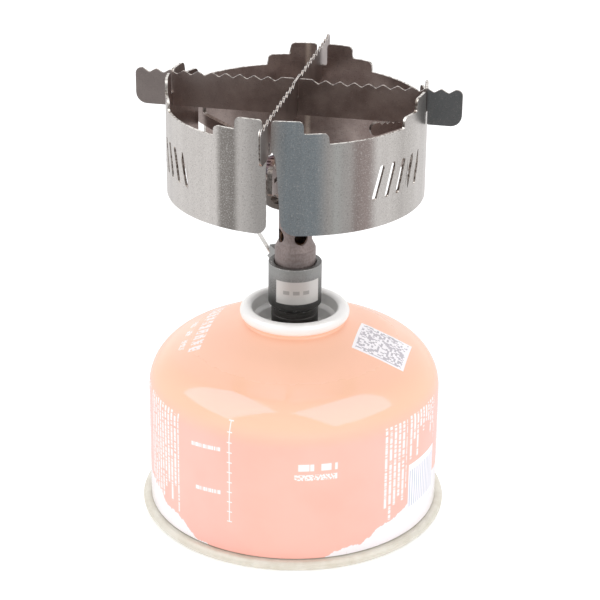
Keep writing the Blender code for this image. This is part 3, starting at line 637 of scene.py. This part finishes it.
def sheet(name, outlines, thickness, edge=0.07, matrix=None):
    """A flat piece with its edges broken: its outline and then its holes."""
    curve = bpy.data.curves.new(name, "CURVE")
    curve.dimensions = "2D"
    curve.fill_mode = "BOTH"
    curve.extrude = thickness / 2 * MM
    for outline in outlines:
        spline = curve.splines.new("POLY")
        spline.points.add(len(outline) - 1)
        for point, (x, y) in zip(spline.points, outline):
            point.co = (x * MM, y * MM, 0.0, 1.0)
        spline.use_cyclic_u = True
    made = bpy.data.objects.new(name, curve)
    bpy.context.scene.collection.objects.link(made)
    mesh = evaluated_mesh(made)
    form = bmesh.new()
    form.from_mesh(mesh)
    bmesh.ops.dissolve_limit(form, angle_limit=radians(1), verts=form.verts, edges=form.edges)
    bmesh.ops.recalc_face_normals(form, faces=form.faces)
    rims = [e for e in form.edges if len(e.link_faces) == 2 and e.calc_face_angle() > radians(60)]
    rims = [e for e in rims if any(abs(f.normal.z) > 0.9 for f in e.link_faces)]
    chamfer = {"offset": edge * MM, "segments": 2, "profile": 0.5, "affect": "EDGES"}
    bmesh.ops.bevel(form, geom=rims, clamp_overlap=True, **chamfer)
    if matrix is not None:
        bmesh.ops.transform(form, matrix=matrix, verts=form.verts)
    form.to_mesh(mesh)
    form.free()
    mesh.name = name
    return mesh


def cut(mesh, *tools, operation="DIFFERENCE"):
    """The mesh with these (mesh, matrix) tools taken away or joined on."""
    target = bpy.data.objects.new("cut target", mesh)
    bpy.context.scene.collection.objects.link(target)
    helpers = []
    for tool, matrix in tools:
        helper = bpy.data.objects.new("cut tool", tool)
        helper.matrix_world = matrix
        bpy.context.scene.collection.objects.link(helper)
        change = target.modifiers.new("cut", "BOOLEAN")
        change.operation = operation
        change.solver = "EXACT"
        change.object = helper
        helpers.append(helper)
    result = evaluated_mesh(target)
    for helper in helpers:
        bpy.data.objects.remove(helper, do_unlink=True)
    return result


def rod(radius, low, high, sides=64):
    return lathe("rod", [(0, high), (radius, high), (radius, low), (0, low)], sides, closed=False)


# ---- canister ------------------------------------------------------------------------------------


def canister():
    def shoulder(wall):
        bend = arc(36.1, 46.0, 16.0 - wall, 68, 0, 22)
        cone = [(20.8 - wall * 0.4, 69.5 - wall), (27.0, 67.35 - wall), (35.0, 64.05 - wall)]
        bead = [(17.6 - wall, 72.1), (17.6 - wall, 71.2 - wall)]
        bead += [(18.0 - wall / 2, 70.75 - wall), (19.0, 70.5 - wall)]
        return bead + cone + bend

    shell = shoulder(0.0) + [(CAN_R, 3.35), (CAN_R - 0.6, 3.35)] + shoulder(0.6)[::-1]
    mesh = lathe("canister.shell", shell, 192)
    piece("canister.shell", mesh, finishes["can_paint"], "canister", "can_paint", "canister_shell")

    reach, rise = 50.4, 9.2
    dish = [(reach * k / 12, rise - (rise - 1.6) * (k / 12) ** 2.2) for k in range(13)]
    over = [(r, z + 0.7) for r, z in dish]
    rim = [(51.0, 3.0)] + arc(53.3, 1.75, 1.28, 100, 55, 4) + arc(53.75, 1.5, 1.25, 45, -40, 8)
    rim += [(54.2, 0.0), (52.8, 0.0)] + arc(52.6, 0.9, 0.9, 250, 205, 3)
    mesh = lathe("canister.base", over + rim + dish[::-1], 192, closed=False)
    piece("canister.base", mesh, finishes["tin"], "canister", "tin", "canister_base")

    roll = arc(17.15, 74.3, 2.3, 145, -145, 30)
    wall_out = [(15.4, 72.0)] + arc(14.5, 71.2, 0.6, 20, -60, 3)
    wall_out += [(14.0, 69.8), (14.0, 67.4), (12.4, 65.4), (4.9, 65.4)]
    wall_in = [(4.9, 66.2), (11.6, 66.2), (12.6, 66.6), (13.2, 67.6)]
    wall_in += [(13.2, 70.4), (13.6, 71.2), (14.7, 72.0), (15.1, 73.4)]
    mesh = lathe("canister.collar", roll + wall_out + wall_in, 144)
    piece("canister.collar", mesh, finishes["tin_bright"], "canister", "tin_bright", "mounting_cup")


# ---- valve body and tube -------------------------------------------------------------------------


SPINDLE_ANGLE, SPINDLE_Z = 214, 0.086  # where the spindle points, in degrees, and its height in metres


def valve():
    body = (
        [(7.55, 93.05)] + arc(7.75, 93.0, 0.2, 180, 90, 3) + arc(9.15, 92.95, 0.25, 90, 0, 4)
        + [(9.4, 78.0), (9.3, 77.8), (8.5, 76.95), (8.4, 76.9), (3.9, 76.9), (3.9, 74.9), (2.6, 74.9), (2.6, 77.2)]
        + [(1.2, 77.2), (1.2, 88.2), (2.1, 88.2), (2.1, 90.3), (7.35, 90.3), (7.55, 90.5)]
    )  # fmt: skip
    outwards = radial(SPINDLE_ANGLE, 1000.0).to_track_quat("Z", "Y").to_matrix().to_4x4()
    towards = Matrix.Translation((0, 0, SPINDLE_Z)) @ outwards
    outline = rounded([(-4.4, 8.2, 0), (4.4, 8.2, 0), (4.4, 14.0, 0.5), (-4.4, 14.0, 0.5)])
    block = sheet("block", [outline], 14.7, 0.4, Matrix.Translation((0, 0, 0.08735)))
    block.transform(Matrix.Rotation(radians(SPINDLE_ANGLE - 180), 4, "Z"))
    mesh = cut(lathe("valve.body", body, 128), (block, Matrix()), operation="UNION")
    mesh = cut(mesh, (rod(2.35, -3.0, 16.0), towards))
    piece("valve.body", mesh, finishes["anodised"], "burner", "anodised", "valve_body")

    collar = [
        (8.3, 76.4), (8.3, 74.6), (8.1, 74.4), (8.1, 74.1), (8.3, 73.9), (8.3, 67.1), (7.8, 66.6), (5.9, 66.6),
        (5.9, 74.3), (4.2, 74.3), (4.2, 76.6), (8.1, 76.6),
    ]  # fmt: skip
    mesh = lathe("valve.connector", collar, 128)
    piece("valve.connector", mesh, finishes["black"], "burner", "black", "thread_connector")

    tube = [
        (5.84, 122.0), (5.84, 101.5), (5.95, 101.1), (7.08, 98.9), (7.2, 98.5), (7.2, 90.8), (7.0, 90.6), (6.4, 90.6),
        (6.4, 98.4), (5.04, 101.0), (5.04, 122.0),
    ]  # fmt: skip
    holes = []
    for k in range(4):
        across = upright(33.5 + 90 * k, 0.0, 103.5) @ Matrix.Rotation(radians(90), 4, "Y")
        holes.append((rod(2.45, 2.5, 9.5, 48), across))
    mesh = cut(lathe("mixing.tube", tube, 128), *holes)
    piece("mixing.tube", mesh, finishes["titanium_dark"], "burner", "titanium_dark", "mixing_tube")

    bowl = [
        (12.3, 127.4), (12.3, 127.1), (10.6, 125.5), (8.9, 124.1), (7.8, 123.2), (6.5, 122.35), (6.3, 122.3), (5.04, 122.3),
        (5.04, 123.0), (6.1, 123.0), (8.1, 124.5), (11.6, 127.5), (12.1, 127.5),
    ]  # fmt: skip
    mesh = lathe("burner.bowl", bowl, 96)
    piece("burner.bowl", mesh, finishes["titanium_dark"], "burner", "titanium_dark", "burner_bowl")

    holes = [circle(0, 0, 0.7, 20)]
    for count, reach in ((6, 3.2), (12, 6.4), (18, 9.6)):
        for k in range(count):
            turn = 2 * pi * k / count
            holes.append(circle(reach * cos(turn), reach * sin(turn), 0.8, 16))
    level = Matrix.Translation((0, 0, 0.12855))
    mesh = sheet("burner.cap", [circle(0, 0, 11.8, 96)] + holes, 1.5, 0.12, level)
    piece("burner.cap", mesh, finishes["steel_burnt"], "burner", "steel_burnt", "burner_cap")


def wire_handle():
    """One bent wire: an end in the spindle's yoke, out along one leg, round, and back along the other."""
    half, corner, length, radius = 7.1, 1.1, 36.5, 0.65
    side = [(0.0, 1.8), (0.0, half - 2.4)]
    bends = [pi / 2 * k / 6 for k in range(7)]
    side += [(corner * (1 - cos(bend)), half - corner + corner * sin(bend)) for bend in bends]
    far = length - half
    side += [(far * k / 6, half) for k in range(1, 6)]
    turn = [(far + half * sin(pi * k / 28), half * cos(pi * k / 28)) for k in range(29)]
    route = side + turn + [(x, -y) for x, y in side[::-1]]
    curve = bpy.data.curves.new("wire", "CURVE")
    curve.dimensions = "3D"
    curve.bevel_depth = radius * MM
    curve.bevel_resolution = 5
    curve.use_fill_caps = True
    spline = curve.splines.new("POLY")
    spline.points.add(len(route) - 1)
    for point, (x, y) in zip(spline.points, route):
        point.co = (x * MM, y * MM, 0.0, 1.0)
    along = radial(SPINDLE_ANGLE, 1000.0)
    level = Vector((0, 0, 1)).cross(along)
    hinge = Vector((0, 0, 1)) * cos(radians(30)) + level * sin(radians(30))
    out = along * cos(radians(7)) + along.cross(hinge) * sin(radians(7))
    place = Matrix((out, hinge, out.cross(hinge))).transposed().to_4x4()
    made = bpy.data.objects.new("wire", curve)
    bpy.context.scene.collection.objects.link(made)
    mesh = evaluated_mesh(made)
    mesh.transform(Matrix.Translation(Vector((0, 0, SPINDLE_Z)) + along * 0.0185) @ place)
    piece("valve.handle", mesh, finishes["wire"], "handle", "steel", "wire_handle")


# ---- arms ----------------------------------------------------------------------------------------


def arm_outline(with_tongue):
    """An arm from its side: a bar that rises to a horn, and on two arms a toothed tongue over the bar."""
    pivot_r, pivot_z, top, horn = 9.8, 119.0, 141.2, 143.3
    turns = [radians(125 + 176 * k / 24) for k in range(25)]
    eye = [(2.6 * cos(turn), 2.6 * sin(turn)) for turn in turns]
    if with_tongue:
        head = [(41.3, horn, 1.2), (41.3, top, 0.4)]
        for k in range(5):
            tooth = 40.5 - 2.1 * k
            head += [(tooth, top, 0.25), (tooth - 1.05, top - 0.8, 0.25)]
        head += [(30.0, top, 0.25), (26.9, top, 2.5), (26.9, 136.0, 2.1)]
        head += [(42.8, 139.35, 0.6), (42.8, 137.7, 0.6)]
    else:
        head = [(43.0, horn, 1.2), (43.0, 137.7, 1.6)]
    corners = [(36.5, 132.3, 8), (45.8, 134.4, 1.6), (45.8, horn, 1.5)] + head + [(30.0, 135.5, 6.0)]
    local = [(x - pivot_r, y - pivot_z, r) for x, y, r in corners]
    return rounded([(*eye[-1], 0)] + local + [(*eye[0], 0)], 5) + eye[1:-1]


def arms():
    for number, (angle, with_tongue) in enumerate(((1.2, True), (121.2, True), (241.2, False)), 1):
        outlines = [arm_outline(with_tongue), circle(0, 0, 1.15, 32)]
        mesh = sheet(f"arm.{number}", outlines, 1.7, 0.2, upright(angle, 9.8, 119.0))
        body, node = f"arm_{number}", f"support_arm_{number}"
        evenly_shaded(f"arm.{number}", mesh, finishes["arm"], body, "titanium_dark", node)


# ---- windscreen and cross plates -----------------------------------------------------------------

NEUTRAL = 43.975  # radius of the middle of the windscreen's sheet
DEGREE = radians(1) * NEUTRAL


def screen_blank():
    """The windscreen laid flat: x is the angle times the length of a degree, y the height."""
    bottom, top, step_top, tab_top = 120.35, 151.45, 155.1, 159.3
    corners = [(5.7, bottom, 5.2)]
    for angle in (121.2, 242.2):
        half = 1.95 / DEGREE
        corners += [(angle - half, bottom, 0.8), (angle - half, 143.65, 0.7)]
        corners += [(angle + half, 143.65, 0.7), (angle + half, bottom, 0.8)]
    corners += [(359.2, bottom, 3.4), (359.2, top, 0.4)]
    for plate in (360, 270, 180, 90, 0):
        if plate < 360:
            corners += [(plate + 25.5, top, 0.6), (plate + 25.5, step_top, 1.7)]
            corners += [(plate + 14.8, step_top, 0.6), (plate + 14.8, tab_top, 1.7)]
        if plate in (90, 180, 270):
            corners += [(plate + 2.5, tab_top, 1.2), (plate + 2.5, top, 0.6)]
        if plate > 0:
            corners += [(plate - 2.5, top, 0.6), (plate - 2.5, tab_top, 1.2)]
            corners += [(plate - 14.8, tab_top, 1.7), (plate - 14.8, step_top, 0.6)]
            corners += [(plate - 25.5, step_top, 1.7), (plate - 25.5, top, 0.6)]
    corners += [(1.3, tab_top, 1.2), (1.3, 149.2, 0.6), (3.3, 147.0, 0.8)]
    outline = rounded([(angle * DEGREE, height, radius) for angle, height, radius in corners], 5)
    vents = []
    for centre in (62.6, 301.8):
        lean = 1.8 if centre < 180 else -1.8
        for k in range(5):
            middle = centre * DEGREE + (k - 2) * 5.2
            slot = [(middle - lean - 1, 129.95, 0.7), (middle - lean + 1, 129.95, 0.7)]
            slot += [(middle + lean + 1, 141.45, 0.7), (middle + lean - 1, 141.45, 0.7)]
            vents.append(rounded(slot, 4))
    return [outline] + vents


def windscreen():
    mesh = sheet("windscreen.ring", screen_blank(), 0.85, 0.3)
    form = bmesh.new()
    form.from_mesh(mesh)
    for k in range(1, 180):
        everything = form.verts[:] + form.edges[:] + form.faces[:]
        fold = (k * 2 * DEGREE * MM, 0, 0)
        bmesh.ops.bisect_plane(form, geom=everything, dist=1e-7, plane_co=fold, plane_no=(1, 0, 0))
    for vertex in form.verts:
        angle, radius = vertex.co.x / (NEUTRAL * MM), NEUTRAL * MM + vertex.co.z
        vertex.co = (radius * sin(angle), -radius * cos(angle), vertex.co.y)
    bmesh.ops.triangulate(form, faces=[face for face in form.faces if len(face.verts) > 4])
    bmesh.ops.recalc_face_normals(form, faces=form.faces)
    form.to_mesh(mesh)
    form.free()
    evenly_shaded("windscreen.ring", mesh, finishes["titanium"], "windscreen", "titanium", "windscreen_ring")


def plate_outline(slot_from_top):
    top, bottom = 159.76, 147.07
    right = [(5.2, top, 0.3)]
    for k in range(10):
        valley = 7.5 + 4.9 * k
        right += [(valley, top - 1.5, 0.6), (valley + 2.45, top, 0.9)]
    right += [(56.4, top, 2.0), (56.4, bottom, 3.8)]
    for edge in (44.75, 43.2):
        notch = [(edge, bottom, 0.5), (edge, 151.75, 0.15)]
        right += notch if edge > 44 else notch[::-1]
    middle = (top + bottom) / 2
    if slot_from_top:
        right = [(0.75, middle - 0.15, 0.1), (0.75, top, 0.6)] + right
    else:
        right += [(0.75, bottom, 0.5), (0.75, middle + 0.15, 0.1)]
    left = [(-x, y, r) for x, y, r in right[::-1]]
    return rounded(right + left, 5)


def cross_plates():
    for axis, angle, from_top, across in (("x", 90, True, (0.0, 1.0, 0.0)), ("y", 0, False, (1.0, 0.0, 0.0))):
        mesh = sheet(f"plate.{axis}", [plate_outline(from_top)], 0.8, 0.16, upright(angle))
        finish = plate_metal(f"plate titanium {axis}", across)
        evenly_shaded(f"plate.{axis}", mesh, finish, f"plate_{axis}", "titanium_dark", f"cross_plate_{axis}")


canister()
valve()
wire_handle()
arms()
windscreen()
cross_plates()
# the bracket and its rivets get the darkened bracket steel, painted shade
for name in ("arm_bracket", "arm_rivet_1", "arm_rivet_2", "arm_rivet_3"):
    frame["nodes"][name].data.materials[0] = finishes["bracket"]
frame["nodes"]["needle_spindle"].data.materials[0] = finishes["yoke"]


# ---- floor, light and camera ---------------------------------------------------------------------


def studio():
    floor_mesh = bpy.data.meshes.new("floor")
    floor_mesh.from_pydata([(-6, -6, 0), (6, -6, 0), (6, 6, 0), (-6, 6, 0)], [], [(0, 1, 2, 3)])
    floor = bpy.data.objects.new("floor", floor_mesh)
    bpy.context.scene.collection.objects.link(floor)
    floor.location.z = -0.0002
    paper = bpy.data.materials.new("paper")
    paper.use_nodes = True
    shader = paper.node_tree.nodes["Principled BSDF"]
    shader.inputs["Base Color"].default_value = (0.9, 0.9, 0.9, 1)
    shader.inputs["Roughness"].default_value = 0.9
    shader.inputs["Specular IOR Level"].default_value = 0.0
    shader.inputs["Emission Color"].default_value = (1, 1, 1, 1)
    shader.inputs["Emission Strength"].default_value = 0.3
    floor_mesh.materials.append(paper)
    floor.visible_glossy = False

    world = bpy.data.worlds.new("studio")
    bpy.context.scene.world = world
    world.use_nodes = True
    nodes, links = world.node_tree.nodes, world.node_tree.links
    split = nodes.new("ShaderNodeSeparateXYZ")
    links.new(nodes.new("ShaderNodeTexCoord").outputs["Generated"], split.inputs[0])
    flipped = nodes.new("ShaderNodeMath")
    flipped.operation = "MULTIPLY"
    flipped.inputs[1].default_value = -1.0
    links.new(split.outputs["Y"], flipped.inputs[0])
    bearing = nodes.new("ShaderNodeMath")
    bearing.operation = "ARCTAN2"
    links.new(split.outputs["X"], bearing.inputs[0])
    links.new(flipped.outputs[0], bearing.inputs[1])
    turn = nodes.new("ShaderNodeMapRange")
    links.new(bearing.outputs[0], turn.inputs[0])
    turn.inputs[1].default_value, turn.inputs[2].default_value = -pi, pi

    def sweep(*stops):
        """Brightness by the angle round the stove, in degrees."""
        made = nodes.new("ShaderNodeValToRGB")
        made.color_ramp.interpolation = "EASE"
        ramp = made.color_ramp.elements
        while len(ramp) < len(stops):
            ramp.new(1.0)
        for stop, (angle, value) in zip(ramp, stops):
            stop.position = angle / 360 + 0.5
            stop.color = (value, value, value * 1.01, 1)
        links.new(turn.outputs[0], made.inputs[0])
        return made.outputs[0]

    low = sweep((-180, 1.0), (-60, 1.0), (-10, 0.33), (45, 0.38), (100, 1.0), (180, 1.0))
    high = sweep((-180, 1.4), (-150, 1.6), (-120, 1.0), (130, 1.0), (180, 1.4))
    level = nodes.new("ShaderNodeMapRange")
    level.interpolation_type = "SMOOTHSTEP"
    links.new(split.outputs["Z"], level.inputs[0])
    level.inputs[1].default_value, level.inputs[2].default_value = -0.2, 0.1
    shade = nodes.new("ShaderNodeMix")
    shade.data_type = "RGBA"
    links.new(level.outputs[0], shade.inputs[0])
    links.new(low, shade.inputs[6])
    links.new(high, shade.inputs[7])
    background = nodes["Background"]
    links.new(shade.outputs[2], background.inputs["Color"])
    background.inputs["Strength"].default_value = 0.85

    for name, angle, height, distance, size, power, sheen in (
        ("left", -44, 0.40, 1.3, (0.42, 0.5), 2.6, False),
        ("right", 64, 0.40, 1.3, (0.42, 0.5), 2.6, False),
        ("top", 200, 1.5, 0.5, (0.9, 0.9), 3.3, False),
        ("left sheen", -66, 1.00, 0.80, (1.15, 1.1), 8.5, True),
        ("right sheen", 70, 1.00, 0.80, (1.25, 1.15), 9.5, True),
    ):
        lamp = bpy.data.lights.new(name, "AREA")
        lamp.shape = "RECTANGLE"
        lamp.size, lamp.size_y = size
        lamp.energy = power
        holder = bpy.data.objects.new(name, lamp)
        bpy.context.scene.collection.objects.link(holder)
        holder.location = radial(angle, distance * 1000, height * 1000)
        holder.visible_glossy, holder.visible_diffuse = sheen, not sheen
        aim = Vector((0, 0, 0.07)) - holder.location
        holder.rotation_euler = aim.to_track_quat("-Z", "Y").to_euler()


def camera():
    azimuth, elevation, roll, distance = radians(11.63), radians(23.926), radians(0.604), 0.69031
    back = Vector((sin(azimuth) * cos(elevation), -cos(azimuth) * cos(elevation), sin(elevation)))
    right = Vector((cos(azimuth), sin(azimuth), 0))
    up = back.cross(right)
    place = Vector((0, 0, 0.085)) + back * distance + right * 0.00183 - up * 0.00637
    turned_right = right * cos(roll) + up * sin(roll)
    turned_up = up * cos(roll) - right * sin(roll)
    data = bpy.data.cameras.new("camera")
    data.sensor_width = 36
    data.lens = 117.45
    data.clip_start = 0.01
    made = bpy.data.objects.new("camera", data)
    bpy.context.scene.collection.objects.link(made)
    turned = Matrix((turned_right, turned_up, back)).transposed().to_4x4()
    made.matrix_world = Matrix.Translation(place) @ turned
    bpy.context.scene.camera = made


studio()
camera()
bpy.context.scene.view_settings.view_transform = "Standard"
